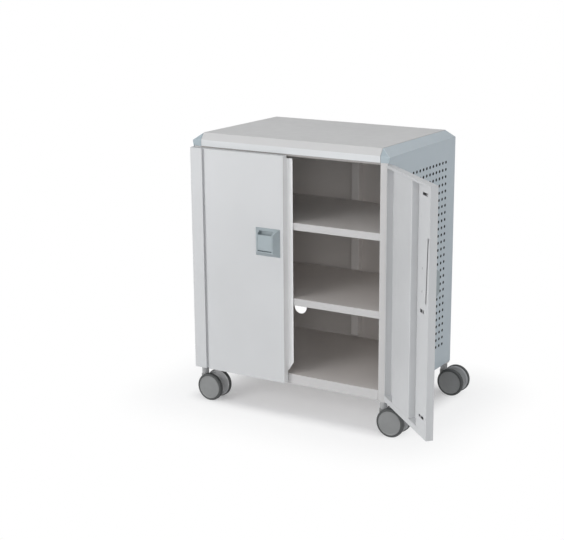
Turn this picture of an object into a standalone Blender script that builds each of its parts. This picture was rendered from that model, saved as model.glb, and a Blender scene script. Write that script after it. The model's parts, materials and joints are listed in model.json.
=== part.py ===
"""Mobile storage cabinet: a folded steel body with two hinged doors and two shelves, on twin-wheel casters.

Metres, +Z up, the front towards -Y, the floor at z = 0 and the body centred on the Z axis.
The left door is closed and the right door stands open.
"""

import math

import bmesh
import bpy
from mathutils import Matrix, Vector

# Overall sizes
BODY_WIDTH = 0.762
BODY_DEPTH = 0.508
HEIGHT = 0.965

# Sheet metal and clearances
SHEET = 0.0015
BEND_RADIUS = 0.003
BEND_STEPS = 2
SEAM = 0.0003
WELD = 0.00001
PAST = 0.004  # how far a cutter runs past the wall that it cuts

# Posts, top and sides
POST_WIDTH = 0.032
POST_DEPTH = 0.030
POST_BOTTOM = 0.111
FOOT_BEVEL = 0.008
FRONT_CHAMFER = 0.0175
CHAMFER_HEIGHT = 0.024
FASCIA_HEIGHT = 0.0215
SIDE_BOTTOM = 0.117

# Header, base, back and shelves
HEADER_DROP = 0.008
HEADER_HEIGHT = 0.026
HEADER_DEPTH = 0.025
BASE_BOTTOM = 0.116
BASE_LIP = 0.035
BASE_UPSTAND = 0.015
SIDE_LIP = 0.020
CORNER_RELIEF = 0.005
BACK_INSET = 0.009
RIB_WIDTH = 0.032
RIB_DEPTH = 0.028
CABLE_HOLE_RADIUS = 0.0275
CABLE_HOLE_X = -0.253
CABLE_HOLE_Z = 0.233
UPPER_SHELF_TOP = 0.686
LOWER_SHELF_TOP = 0.422
SHELF_LIP = 0.025
SHELF_SETBACK = 0.008
SHELF_BACK_GAP = 0.043

# Doors
DOOR_BOTTOM = 0.1225
DOOR_TOP_GAP = 0.0035
DOOR_THICKNESS = 0.0245
DOOR_GAP = 0.0025  # between a closed door and the posts
DOOR_SIDE_INSET = 0.0037
MEETING_GAP = 0.003
GROOVE_OFFSET = 0.0475
GROOVE_WIDTH = 0.012
GROOVE_DEPTH = 0.010
HINGE_LIP = 0.004
LATCH_LIP = 0.006
TOP_LIP = 0.009
BOTTOM_LIP = 0.020
HINGE_RECESS = 0.0677
HAT_WIDTH = 0.1515
LOCK_CHANNEL_WIDTH = 0.0884
RIGHT_DOOR_ANGLE = math.radians(137.25)

# Meeting strip on the left door
STRIP_FLANGE = 0.026
STRIP_STEP = 0.0065
STRIP_LIP = 0.0185
STRIP_BOTTOM = 0.163
STRIP_END_GAP = 0.0065
STRIP_END_SLOPE = 1.6

# Piano hinges
LEAF = 0.0008
FRAME_LEAF_REACH = 0.016  # along the body's side, behind its front
DOOR_LEAF_INSET = 0.004  # behind the door's front
HINGE_FORWARD = 0.0055  # from the closed door's inside forwards to the hinge's axis
KNUCKLE_RADIUS = 0.0042
KNUCKLE_SIDES = 6
KNUCKLES = 48
KNUCKLE_GAP = 0.0004
PIN_RADIUS = 0.0015
PIN_CLEARANCE = 0.0003
PIN_SIDES = 6

# Handle
HANDLE_OFFSET = 0.0612  # from the door's meeting edge to the handle's middle
HANDLE_Z = 0.616
HANDLE_BASE = 0.098
HANDLE_FACE = 0.064
HANDLE_HEIGHT = 0.022
POCKET_WIDTH = 0.056
POCKET_DEPTH = 0.020
POCKET_RISE = 0.041  # from the handle's middle to the pocket's top, which opens the upper slope
POCKET_DROP = 0.029
FINGER_GAP = 0.0125
PADDLE_PLATE = 0.003
PADDLE_CLEARANCE = 0.0005
PADDLE_PIN_RADIUS = 0.0012
PADDLE_PIN_INSET = 0.0075  # behind the housing's face
PADDLE_PIN_GRIP = 0.0025  # how far each end of the pin runs into the housing
BARREL_RADIUS = 0.003
BARREL_SIDES = 12
TAIL_WIDTH = 0.006
TAIL_THICKNESS = 0.003

# Latch inside the lock channel
ROCKER_OFFSET = 0.040  # from the door's meeting edge to the rocker's stud
ROCKER_HALF_HEIGHT = 0.005
ROCKER_THICKNESS = 0.003
ROCKER_LONG_ARM = 0.0185
ROD_ARM = 0.0095
STUD_RADIUS = 0.004
STUD_SIDES = 12
DRIVE_PIN_RADIUS = 0.0018
ROD_WIDTH = 0.011
ROD_THICKNESS = 0.003
ROD_TRAVEL = 0.0053
ROD_CLEARANCE = 0.0005
DRIVE_SLOT_WIDTH = 0.0076
TONGUE = 0.003
UPPER_SLOT_TOP = 0.8895
LOWER_SLOT_BOTTOM = 0.183
SLOT_WIDTH = 0.040
SLOT_OFFSET = 0.0415  # from the door's meeting edge to the middle of the rods' slots
LATCH_PORT = (0.030, 0.012)
LATCH_PORT_OFFSET = 0.051
LATCH_PORT_Z = 0.5235
SLIT_WIDTH = 0.008
SLIT_TOP = (0.0122, 0.757)  # distance from the meeting edge, and height
SLIT_FOOT = (0.0220, 0.553)
SKIN_HOLE_CLEARANCE = 0.0005
TAIL_SLOT_ROOM = 0.0075  # the tail's rise at the skin when the paddle is pulled

# Casters
WHEEL_RADIUS = 0.050
WHEEL_WIDTH = 0.019
CASTER_WIDTH = 0.075
TRAIL = 0.040
AXLE_RADIUS = 0.004
AXLE_SIDES = 12
WHEEL_STEPS = 20
HUB_RADIUS = 0.011
TYRE_DEPTH = 0.007
CAP_THICKNESS = 0.0065
COLLAR_RADIUS = 0.0125
COLLAR_BOTTOM = 0.0865
PLUG_TOP = 0.150
STEM_RADIUS = 0.0077
STEM_SIDES = 16
STEM_CLEARANCE = 0.0004
FLANGE_THICKNESS = 0.006
YOKE_THICKNESS = 0.014
YOKE_BOSS = 0.013
YOKE_HEEL = 0.020  # height of the yoke's straight back under the stem
RUNNING_GAP = 0.0004

# Derived places
HALF_WIDTH = BODY_WIDTH / 2
FRONT = -BODY_DEPTH / 2
BACK = BODY_DEPTH / 2
CHAMFER_FOOT = HEIGHT - CHAMFER_HEIGHT
FASCIA_BOTTOM = CHAMFER_FOOT - FASCIA_HEIGHT
POST_INNER = HALF_WIDTH - POST_WIDTH
POST_OUTER = HALF_WIDTH - SHEET - SEAM
HEADER_BOTTOM = FASCIA_BOTTOM - HEADER_DROP
HEADER_TOP = HEADER_BOTTOM + HEADER_HEIGHT
FLOOR_TOP = BASE_BOTTOM + BASE_LIP
BACK_FACE = BACK - BACK_INSET

DOOR_BACK = FRONT - DOOR_GAP
DOOR_FRONT = DOOR_BACK - DOOR_THICKNESS
DOOR_TOP = FASCIA_BOTTOM - DOOR_TOP_GAP
DOOR_MEETING = MEETING_GAP / 2
DOOR_OUTER = HALF_WIDTH - DOOR_SIDE_INSET
CHANNEL_BOTTOM = DOOR_BOTTOM + BOTTOM_LIP + SEAM
CHANNEL_TOP = DOOR_TOP - TOP_LIP - SEAM
HINGE_AXIS = Vector((HALF_WIDTH + SEAM + LEAF / 2, DOOR_BACK - HINGE_FORWARD, 0))
BORE_RADIUS = PIN_RADIUS + PIN_CLEARANCE

HOUSING_BACK = DOOR_FRONT - SEAM
HOUSING_FACE = HOUSING_BACK - HANDLE_HEIGHT
HANDLE_X = DOOR_MEETING + HANDLE_OFFSET
POCKET_BOTTOM = HANDLE_Z - POCKET_DROP
POCKET_TOP = HANDLE_Z + POCKET_RISE
PADDLE_PIN_AT = Vector(
    (
        HANDLE_X,
        HOUSING_FACE + PADDLE_PIN_INSET,
        POCKET_BOTTOM + BARREL_RADIUS + PADDLE_CLEARANCE,
    )
)
CHANNEL_WEB = DOOR_BACK - SHEET
ROD_FRONT = CHANNEL_WEB - RUNNING_GAP - ROD_THICKNESS
ROCKER_BACK = ROD_FRONT - ROD_CLEARANCE
ROCKER_AT = Vector(
    (
        DOOR_MEETING + ROCKER_OFFSET,
        ROCKER_BACK - ROCKER_THICKNESS / 2,
        PADDLE_PIN_AT.z + TAIL_THICKNESS / 2 + ROD_CLEARANCE + ROCKER_HALF_HEIGHT,
    )
)
SLOT_HEIGHT = TONGUE + ROD_TRAVEL + 2 * ROD_CLEARANCE

PLUG_HALF = (POST_OUTER - POST_INNER) / 2 - SHEET - SEAM
CASTER_X = (POST_INNER + POST_OUTER) / 2
CASTER_FRONT_Y = FRONT + SHEET + SEAM + PLUG_HALF
CASTER_REAR_Y = BACK - 2 * (SHEET + SEAM) - PLUG_HALF
FRONT_NOTCH = max(FRONT + POST_DEPTH, CASTER_FRONT_Y + PLUG_HALF) + SEAM  # clears the post and the socket in it
REAR_NOTCH = min(BACK - POST_DEPTH - SHEET - SEAM, CASTER_REAR_Y - PLUG_HALF) - SEAM
FLANGE_TOP = COLLAR_BOTTOM - SEAM


# Scene, finishes and small tools

for old in list(bpy.data.objects):
    bpy.data.objects.remove(old)


def new_collection(name):
    collection = bpy.data.collections.new(name)
    bpy.context.scene.collection.children.link(collection)
    return collection


PARTS = new_collection("mobile_storage_cabinet")
CUTTERS = new_collection("cutters")


def new_finish(name, colour, roughness, metallic=0.0):
    material = bpy.data.materials.new(name)
    material.use_nodes = True
    shader = material.node_tree.nodes["Principled BSDF"]
    shader.inputs["Base Color"].default_value = (*colour, 1)
    shader.inputs["Roughness"].default_value = roughness
    shader.inputs["Metallic"].default_value = metallic
    return material


TOP_PAINT = new_finish("warm_grey_paint", (0.58, 0.572, 0.57), 0.5)
DOOR_PAINT = new_finish("light_grey_paint", (0.585, 0.588, 0.59), 0.45)
SIDE_PAINT = new_finish("blue_grey_paint", (0.46, 0.51, 0.535), 0.5)
INSIDE_PAINT = new_finish("taupe_paint", (0.58, 0.562, 0.55), 0.55)
HANDLE_PLASTIC = new_finish("blue_grey_plastic", (0.345, 0.40, 0.425), 0.45)
CASTER_PLASTIC = new_finish("grey_plastic", (0.24, 0.245, 0.245), 0.5)
SOCKET_PLASTIC = new_finish("light_grey_plastic", (0.42, 0.42, 0.43), 0.5)
STEEL = new_finish("bare_steel", (0.55, 0.55, 0.56), 0.35, 1.0)


def new_part(name, mesh, finish):
    mesh.materials.clear()
    mesh.materials.append(finish)
    part = bpy.data.objects.new(name, mesh)
    PARTS.objects.link(part)
    return part


def mesh_of(bm, name):
    mesh = bpy.data.meshes.new(name)
    bm.to_mesh(mesh)
    bm.free()
    return mesh


def smooth(mesh):
    mesh.shade_smooth()
    mesh.set_sharp_from_angle(angle=math.radians(35))
    return mesh


def box(low, high):
    low, high = Vector(low), Vector(high)
    bm = bmesh.new()
    place = Matrix.Translation((low + high) / 2) @ Matrix.Diagonal((*(high - low), 1))
    bmesh.ops.create_cube(bm, size=1, matrix=place)
    return mesh_of(bm, "box")


def boxes(corners):
    bm = bmesh.new()
    for low, high in corners:
        bm.from_mesh(box(low, high))
    return mesh_of(bm, "boxes")


def cylinder(start, end, radius, sides):
    start, end = Vector(start), Vector(end)
    along = end - start
    turn = Vector((0, 0, 1)).rotation_difference(along).to_matrix().to_4x4()
    bm = bmesh.new()
    bmesh.ops.create_cone(
        bm,
        cap_ends=True,
        segments=sides,
        radius1=radius,
        radius2=radius,
        depth=along.length,
        matrix=Matrix.Translation((start + end) / 2) @ turn,
    )
    return smooth(mesh_of(bm, "cylinder"))


def evaluated_mesh(obj):
    graph = bpy.context.evaluated_depsgraph_get()
    return bpy.data.meshes.new_from_object(obj.evaluated_get(graph))


def extruded(outlines, low, high):
    """A flat outline in X and Y, with any holes as further outlines, as a solid from z = low to high."""
    curve = bpy.data.curves.new("outline", "CURVE")
    curve.dimensions = "2D"
    curve.fill_mode = "BOTH"
    curve.extrude = (high - low) / 2
    for outline in outlines:
        spline = curve.splines.new("POLY")
        spline.points.add(len(outline) - 1)
        for point, (x, y) in zip(spline.points, outline):
            point.co = (x, y, 0, 1)
        spline.use_cyclic_u = True
    guide = bpy.data.objects.new("outline", curve)
    CUTTERS.objects.link(guide)
    mesh = evaluated_mesh(guide)
    bpy.data.objects.remove(guide)
    bm = bmesh.new()
    bm.from_mesh(mesh)
    bmesh.ops.remove_doubles(bm, verts=bm.verts, dist=WELD)
    bmesh.ops.recalc_face_normals(bm, faces=bm.faces)
    bm.to_mesh(mesh)
    bm.free()
    mesh.transform(Matrix.Translation((0, 0, (low + high) / 2)))
    return mesh


def upright(mesh):
    """Turns a mesh drawn flat so that its Y runs up and its Z runs towards the front."""
    mesh.transform(Matrix.Rotation(math.pi / 2, 4, "X"))
    return mesh


def arc(centre, radius, start, end, steps):
    turns = [start + (end - start) * step / steps for step in range(steps + 1)]
    return [(centre[0] + radius * math.cos(a), centre[1] + radius * math.sin(a)) for a in turns]


def boolean(part, mesh, operation):
    helper = bpy.data.objects.new(part.name + "_" + operation.lower(), mesh)
    CUTTERS.objects.link(helper)
    helper.parent = part
    helper.hide_render = True
    helper.display_type = "WIRE"
    modifier = part.modifiers.new(operation.title(), "BOOLEAN")
    modifier.operation = operation
    modifier.object = helper


def cut(part, mesh):
    boolean(part, mesh, "DIFFERENCE")


def join(part, mesh):
    boolean(part, mesh, "UNION")


def baked(part):
    """The finished mesh of a part, which is removed with its helpers."""
    mesh = evaluated_mesh(part)
    for helper in list(part.children):
        bpy.data.objects.remove(helper)
    bpy.data.objects.remove(part)
    return mesh


def mirrored(part, name):
    """A copy of the part for the other side of the cabinet."""
    mesh = evaluated_mesh(part)
    mesh.transform(Matrix.Scale(-1, 4, (1, 0, 0)))
    mesh.flip_normals()
    return new_part(name, mesh, part.data.materials[0])


def pivot(name, at, parent=None, parent_at=(0, 0, 0)):
    """An empty on a joint's axis."""
    empty = bpy.data.objects.new(name, None)
    PARTS.objects.link(empty)
    empty.parent = parent
    empty.location = Vector(at) - Vector(parent_at)
    return empty


def hang(part, empty, at):
    """Carries a part, drawn in the cabinet's own place, on an empty that stands at a point."""
    part.parent = empty
    part.location = -Vector(at)


# Folded sheet metal


def thicken(part, thickness=SHEET):
    """Gives an open sheet its thickness, behind the faces that were drawn."""
    solidify = part.modifiers.new("Sheet", "SOLIDIFY")
    solidify.thickness = thickness
    solidify.offset = -1
    solidify.use_even_offset = True


def rounded(points):
    """An open line with each inner corner turned into a bend."""
    points = [Vector(point) for point in points]
    line = [points[0]]
    for before, corner, after in zip(points, points[1:], points[2:]):
        into = (corner - before).normalized()
        out = (after - corner).normalized()
        turn = math.atan2(into.x * out.y - into.y * out.x, into.dot(out))
        start = corner - into * BEND_RADIUS * math.tan(abs(turn) / 2)
        inward = Vector((-into.y, into.x)) * math.copysign(1, turn)
        centre = start + inward * BEND_RADIUS
        for step in range(BEND_STEPS + 1):
            spoke = (start - centre).copy()
            spoke.rotate(Matrix.Rotation(turn * step / BEND_STEPS, 2))
            line.append(centre + spoke)
    line.append(points[-1])
    return line


def folded(name, profile, axis, low, high, outward, finish, ends=()):
    """A profile of bends swept along X or Z. Outward is the drawn side of its first face.

    Ends are planes, each a point and a direction, that the sheet is cut back to.
    """
    bm = bmesh.new()
    line = rounded(profile)
    if axis == "X":
        chain = [bm.verts.new((low, point.x, point.y)) for point in line]
        sweep = Vector((high - low, 0, 0))
    else:
        chain = [bm.verts.new((point.x, point.y, low)) for point in line]
        sweep = Vector((0, 0, high - low))
    edges = [bm.edges.new(pair) for pair in zip(chain, chain[1:])]
    swept = bmesh.ops.extrude_edge_only(bm, edges=edges)["geom"]
    bmesh.ops.translate(bm, vec=sweep, verts=[v for v in swept if isinstance(v, bmesh.types.BMVert)])
    bm.normal_update()
    if edges[0].link_faces[0].normal.dot(Vector(outward)) < 0:
        bmesh.ops.reverse_faces(bm, faces=bm.faces)
    for point, direction in ends:
        whole = bm.verts[:] + bm.edges[:] + bm.faces[:]
        bmesh.ops.bisect_plane(bm, geom=whole, plane_co=point, plane_no=direction, clear_outer=True)
    part = new_part(name, mesh_of(bm, name), finish)
    thicken(part)
    return part


def tray(name, outline, lips, finish, place):
    """A flat sheet with some of its edges turned. Lips maps an edge's number to its depth, up where negative."""
    bm = bmesh.new()
    corners = [bm.verts.new((x, y, 0)) for x, y in outline]
    flat = bm.faces.new(corners)
    for number, depth in lips.items():
        edge = bm.edges.get((corners[number], corners[(number + 1) % len(corners)]))
        turned = bmesh.ops.extrude_edge_only(bm, edges=[edge])["geom"]
        bmesh.ops.translate(bm, vec=(0, 0, -depth), verts=[v for v in turned if isinstance(v, bmesh.types.BMVert)])
    bmesh.ops.recalc_face_normals(bm, faces=bm.faces)
    if flat.normal.z < 0:
        bmesh.ops.reverse_faces(bm, faces=bm.faces)
    mesh = mesh_of(bm, name)
    mesh.transform(place)
    part = new_part(name, mesh, finish)
    thicken(part)
    return part


def level(height):
    return Matrix.Translation((0, 0, height))


# Body


def make_top_panel():
    half = HALF_WIDTH - POST_WIDTH - SEAM / 2
    profile = [
        (FRONT, FASCIA_BOTTOM),
        (FRONT, CHAMFER_FOOT),
        (FRONT + FRONT_CHAMFER, HEIGHT),
        (BACK - FRONT_CHAMFER, HEIGHT),
        (BACK, CHAMFER_FOOT),
        (BACK, FASCIA_BOTTOM),
    ]
    folded("top_panel", profile, "X", -half, half, (0, -1, 0), TOP_PAINT)


def hipped_block(inset, inner, bottom):
    """The right-hand end of the body as a block from x = inner outwards, its faces moved inwards by inset."""
    bm = bmesh.new()
    bm.from_mesh(box((inner, FRONT + inset, bottom), (HALF_WIDTH - inset, BACK - inset, HEIGHT - inset)))
    slopes = [
        ((HALF_WIDTH, 0, CHAMFER_FOOT), (CHAMFER_HEIGHT, 0, POST_WIDTH)),
        ((0, FRONT, CHAMFER_FOOT), (0, -CHAMFER_HEIGHT, FRONT_CHAMFER)),
        ((0, BACK, CHAMFER_FOOT), (0, CHAMFER_HEIGHT, FRONT_CHAMFER)),
    ]
    for point, direction in slopes:
        normal = Vector(direction).normalized()
        whole = bm.verts[:] + bm.edges[:] + bm.faces[:]
        made = bmesh.ops.bisect_plane(
            bm, geom=whole, plane_co=Vector(point) - normal * inset, plane_no=normal, clear_outer=True
        )
        bmesh.ops.contextual_create(bm, geom=[g for g in made["geom_cut"] if isinstance(g, bmesh.types.BMEdge)])
    bmesh.ops.recalc_face_normals(bm, faces=bm.faces)
    return bm


def make_side_panels():
    """Hollow hipped ends, open below and towards the middle, and open in front for the post."""
    outside = mesh_of(hipped_block(0, POST_INNER + SEAM / 2, SIDE_BOTTOM), "side_panel")
    right = new_part("right_side_panel", outside, SIDE_PAINT)
    hollow = hipped_block(SHEET, POST_INNER - PAST, SIDE_BOTTOM - PAST)
    whole = hollow.verts[:] + hollow.edges[:] + hollow.faces[:]
    bmesh.ops.bisect_plane(hollow, geom=whole, plane_co=(0, 0, FASCIA_BOTTOM), plane_no=(0, 0, 1))
    hollow.normal_update()
    post_face = [
        face for face in hollow.faces if face.normal.y < -0.9 and face.calc_center_median().z < FASCIA_BOTTOM
    ]
    opened = bmesh.ops.extrude_face_region(hollow, geom=post_face)["geom"]
    bmesh.ops.delete(hollow, geom=post_face, context="FACES_ONLY")
    moved = [g for g in opened if isinstance(g, bmesh.types.BMVert)]
    bmesh.ops.translate(hollow, vec=(0, -SHEET - PAST, 0), verts=moved)
    bmesh.ops.recalc_face_normals(hollow, faces=hollow.faces)
    cut(right, mesh_of(hollow, "hollow"))
    mirrored(right, "left_side_panel")


def make_posts():
    foot = Vector((POST_INNER, 0, POST_BOTTOM + FOOT_BEVEL))
    ends = [(foot, Vector((-1, 0, -1)).normalized())]
    depths = {
        "front": (FRONT, FRONT + POST_DEPTH, (0, -1, 0), DOOR_PAINT),
        "rear": (BACK - SHEET - SEAM, BACK - SHEET - SEAM - POST_DEPTH, (0, 1, 0), INSIDE_PAINT),
    }
    for where, (face, edge, outward, finish) in depths.items():
        profile = [(POST_INNER, edge), (POST_INNER, face), (POST_OUTER, face), (POST_OUTER, edge)]
        right = folded(
            f"right_{where}_post", profile, "Z", POST_BOTTOM, FASCIA_BOTTOM - SEAM, (-1, 0, 0), finish, ends
        )
        mirrored(right, f"left_{where}_post")


def make_header_rail():
    front = FRONT + SHEET + SEAM
    profile = [
        (front + HEADER_DEPTH, HEADER_TOP),
        (front, HEADER_TOP),
        (front, HEADER_BOTTOM),
        (front + HEADER_DEPTH, HEADER_BOTTOM),
    ]
    half = POST_INNER - SEAM
    folded("header_rail", profile, "X", -half, half, (0, 0, 1), INSIDE_PAINT)


def notched_outline(front, back, rear_notches):
    """Half of a floor's outline from the middle of its front, which leaves the corner posts free."""
    inner = POST_INNER - SEAM
    side = HALF_WIDTH - SHEET - SEAM
    right = [
        (inner, front),
        (inner, FRONT_NOTCH),
        (side, FRONT_NOTCH),
    ]
    if rear_notches:
        right += [(side, REAR_NOTCH), (inner, REAR_NOTCH), (inner, back)]
    else:
        right += [(side, back)]
    right += [(right[-1][0] - CORNER_RELIEF, back)]
    left = [(-x, y) for x, y in reversed(right)]
    return right + left


def make_base_panel():
    back = BACK_FACE - SEAM - SHEET
    outline = notched_outline(FRONT, back, rear_notches=True)
    last = len(outline) - 1
    lips = {last: BASE_LIP, 2: SIDE_LIP, last - 3: SIDE_LIP, 6: -BASE_UPSTAND}
    tray("base_panel", outline, lips, INSIDE_PAINT, level(FLOOR_TOP))


def make_shelves():
    outline = notched_outline(FRONT + SHELF_SETBACK, BACK_FACE - SHELF_BACK_GAP, rear_notches=False)
    last = len(outline) - 1
    lips = {last: SHELF_LIP, 2: SIDE_LIP, last - 3: SIDE_LIP, 4: SIDE_LIP}
    for name, top in (("upper_shelf", UPPER_SHELF_TOP), ("lower_shelf", LOWER_SHELF_TOP)):
        tray(name, outline, lips, INSIDE_PAINT, level(top))


def make_back_panel():
    half = POST_INNER - SEAM
    low, high = SIDE_BOTTOM, HEADER_TOP
    relief = CORNER_RELIEF
    outline = [
        (-half + relief, low),
        (half - relief, low),
        (half, low + relief),
        (half, high - relief),
        (half - relief, high),
        (-half + relief, high),
        (-half, high - relief),
        (-half, low + relief),
    ]
    flange = BACK_INSET - SHEET - SEAM
    lips = {edge: flange for edge in (0, 2, 4, 6)}
    place = Matrix.Translation((0, BACK_FACE, 0)) @ Matrix.Rotation(math.pi / 2, 4, "X")
    panel = tray("back_panel", outline, lips, INSIDE_PAINT, place)
    hole = (CABLE_HOLE_X, BACK_FACE, CABLE_HOLE_Z)
    past = Vector((0, PAST, 0))
    cut(panel, cylinder(Vector(hole) - past, Vector(hole) + past, CABLE_HOLE_RADIUS, 24))

    face = BACK_FACE - SEAM
    profile = [
        (-RIB_WIDTH / 2, face),
        (-RIB_WIDTH / 2, face - RIB_DEPTH),
        (RIB_WIDTH / 2, face - RIB_DEPTH),
        (RIB_WIDTH / 2, face),
    ]
    foot = FLOOR_TOP + BASE_UPSTAND + SEAM
    folded("back_stiffener", profile, "Z", foot, HEADER_TOP, (-1, 0, 0), INSIDE_PAINT)


# Doors, drawn closed on the right-hand side


def door_outline(inset):
    """The door pan seen from above, its walls moved inwards by inset."""
    groove_end = DOOR_OUTER - GROOVE_OFFSET
    groove_start = groove_end - GROOVE_WIDTH
    face = DOOR_FRONT + inset
    back = DOOR_BACK - inset
    return [
        (DOOR_MEETING + inset, back),
        (DOOR_MEETING + inset, face),
        (groove_start - inset, face),
        (groove_start - inset, face + GROOVE_DEPTH),
        (groove_end + inset, face + GROOVE_DEPTH),
        (groove_end + inset, face),
        (DOOR_OUTER - inset, face),
        (DOOR_OUTER - inset, back),
    ]


def make_door_skin():
    """The door pan, with a flange above its foot that the stiffeners stand on."""
    skin = new_part("right_door_skin", extruded([door_outline(0)], DOOR_BOTTOM, DOOR_TOP), DOOR_PAINT)
    shelf = DOOR_BOTTOM + BOTTOM_LIP
    cut(skin, extruded([door_outline(SHEET)], shelf, DOOR_TOP - SHEET))
    cut(skin, extruded([door_outline(SHEET)], DOOR_BOTTOM - PAST, shelf - SHEET))
    window_low = (DOOR_MEETING + LATCH_LIP, DOOR_BACK - SHEET - PAST / 2, shelf)
    window_high = (DOOR_OUTER - HINGE_LIP, DOOR_BACK + PAST, DOOR_TOP - TOP_LIP)
    cut(skin, box(window_low, window_high))
    stud = Vector((ROCKER_AT.x, DOOR_FRONT, ROCKER_AT.z))
    past = Vector((0, PAST, 0))
    cut(skin, cylinder(stud - past, stud + past, STUD_RADIUS + SKIN_HOLE_CLEARANCE, STUD_SIDES))
    cut(skin, tail_slot())
    return skin


def make_door_channel(name, inner, outer):
    """An upright channel with its web flush with the door's inside."""
    foot = DOOR_FRONT + SHEET + SEAM
    profile = [(inner, foot), (inner, DOOR_BACK), (outer, DOOR_BACK), (outer, foot)]
    return folded(name, profile, "Z", CHANNEL_BOTTOM, CHANNEL_TOP, (-1, 0, 0), DOOR_PAINT)


def make_hat():
    outer = DOOR_OUTER - HINGE_LIP - HINGE_RECESS
    return make_door_channel("right_door_stiffener", outer - HAT_WIDTH, outer)


def make_lock_channel():
    inner = DOOR_MEETING + LATCH_LIP + SEAM
    outer = DOOR_MEETING + LOCK_CHANNEL_WIDTH
    channel = make_door_channel("right_lock_channel", inner, outer)
    web = (DOOR_BACK - SHEET - PAST / 2, DOOR_BACK + PAST)
    middle = DOOR_MEETING + SLOT_OFFSET
    port_x = DOOR_MEETING + LATCH_PORT_OFFSET
    openings = [
        (middle, SLOT_WIDTH, UPPER_SLOT_TOP - SLOT_HEIGHT, UPPER_SLOT_TOP),
        (middle, SLOT_WIDTH, LOWER_SLOT_BOTTOM, LOWER_SLOT_BOTTOM + SLOT_HEIGHT),
        (port_x, LATCH_PORT[0], LATCH_PORT_Z - LATCH_PORT[1] / 2, LATCH_PORT_Z + LATCH_PORT[1] / 2),
    ]
    for x, width, low, high in openings:
        cut(channel, box((x - width / 2, web[0], low), (x + width / 2, web[1], high)))
    top = Vector((DOOR_MEETING + SLIT_TOP[0], 0, SLIT_TOP[1]))
    foot = Vector((DOOR_MEETING + SLIT_FOOT[0], 0, SLIT_FOOT[1]))
    length = (top - foot).length
    slit = box((-SLIT_WIDTH / 2, web[0], -length / 2), (SLIT_WIDTH / 2, web[1], length / 2))
    lean = math.atan2(top.x - foot.x, top.z - foot.z)
    slit.transform(Matrix.Translation((top + foot) / 2) @ Matrix.Rotation(lean, 4, "Y"))
    cut(channel, slit)
    return channel


def make_handle_housing():
    bm = bmesh.new()
    bmesh.ops.create_cone(
        bm,
        cap_ends=True,
        segments=4,
        radius1=HANDLE_BASE / math.sqrt(2),
        radius2=HANDLE_FACE / math.sqrt(2),
        depth=HANDLE_HEIGHT,
        matrix=Matrix.Rotation(math.pi / 4, 4, "Z"),
    )
    mesh = upright(mesh_of(bm, "housing"))
    mesh.transform(Matrix.Translation((HANDLE_X, (HOUSING_BACK + HOUSING_FACE) / 2, HANDLE_Z)))
    housing = new_part("right_handle_housing", mesh, HANDLE_PLASTIC)
    half = POCKET_WIDTH / 2
    cut(
        housing,
        box(
            (HANDLE_X - half, HOUSING_FACE - PAST, POCKET_BOTTOM),
            (HANDLE_X + half, HOUSING_FACE + POCKET_DEPTH, POCKET_TOP),
        ),
    )
    grip = Vector((half + PADDLE_PIN_GRIP + SEAM, 0, 0))
    hole = cylinder(PADDLE_PIN_AT - grip, PADDLE_PIN_AT + grip, PADDLE_PIN_RADIUS + SEAM, PIN_SIDES * 2)
    cut(housing, hole)
    cut(housing, tail_slot())
    root = (ROCKER_AT.x, HOUSING_BACK - (HANDLE_HEIGHT - POCKET_DEPTH) / 2, ROCKER_AT.z)
    tip = (ROCKER_AT.x, ROCKER_BACK, ROCKER_AT.z)
    join(housing, cylinder(root, tip, STUD_RADIUS, STUD_SIDES))
    return housing


def tail_x():
    return ROCKER_AT.x + ROCKER_LONG_ARM


def tail_slot():
    half = TAIL_WIDTH / 2 + PADDLE_CLEARANCE
    below = TAIL_THICKNESS / 2 + PADDLE_CLEARANCE
    return box(
        (tail_x() - half, HOUSING_FACE + POCKET_DEPTH - PAST / 2, PADDLE_PIN_AT.z - below),
        (tail_x() + half, DOOR_FRONT + SHEET + PAST / 2, PADDLE_PIN_AT.z + TAIL_SLOT_ROOM),
    )


def make_paddle():
    half = POCKET_WIDTH / 2 - PADDLE_CLEARANCE
    face = HOUSING_FACE + PADDLE_CLEARANCE
    foot = PADDLE_PIN_AT.z + PADDLE_CLEARANCE
    top = POCKET_TOP - FINGER_GAP
    plate = box((HANDLE_X - half, face, foot), (HANDLE_X + half, face + PADDLE_PLATE, top))
    paddle = new_part("right_handle_paddle", plate, HANDLE_PLASTIC)
    root = box(
        (HANDLE_X - half + PADDLE_CLEARANCE, face + PADDLE_PLATE / 2, foot + PADDLE_CLEARANCE),
        (HANDLE_X + half - PADDLE_CLEARANCE, PADDLE_PIN_AT.y, foot + 2 * BARREL_RADIUS),
    )
    join(paddle, root)
    reach = Vector((half - 2 * PADDLE_CLEARANCE, 0, 0))
    join(paddle, cylinder(PADDLE_PIN_AT - reach, PADDLE_PIN_AT + reach, BARREL_RADIUS, BARREL_SIDES))
    tail = box(
        (tail_x() - TAIL_WIDTH / 2, PADDLE_PIN_AT.y, PADDLE_PIN_AT.z - TAIL_THICKNESS / 2),
        (tail_x() + TAIL_WIDTH / 2, ROCKER_BACK, PADDLE_PIN_AT.z + TAIL_THICKNESS / 2),
    )
    join(paddle, tail)
    through = Vector((half + PAST, 0, 0))
    bore = cylinder(PADDLE_PIN_AT - through, PADDLE_PIN_AT + through, PADDLE_PIN_RADIUS + SEAM, PIN_SIDES * 2)
    cut(paddle, bore)
    return paddle


def make_paddle_pin():
    reach = Vector((POCKET_WIDTH / 2 + PADDLE_PIN_GRIP, 0, 0))
    pin = cylinder(PADDLE_PIN_AT - reach, PADDLE_PIN_AT + reach, PADDLE_PIN_RADIUS, PIN_SIDES * 2)
    return new_part("right_paddle_pin", pin, STEEL)


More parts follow.
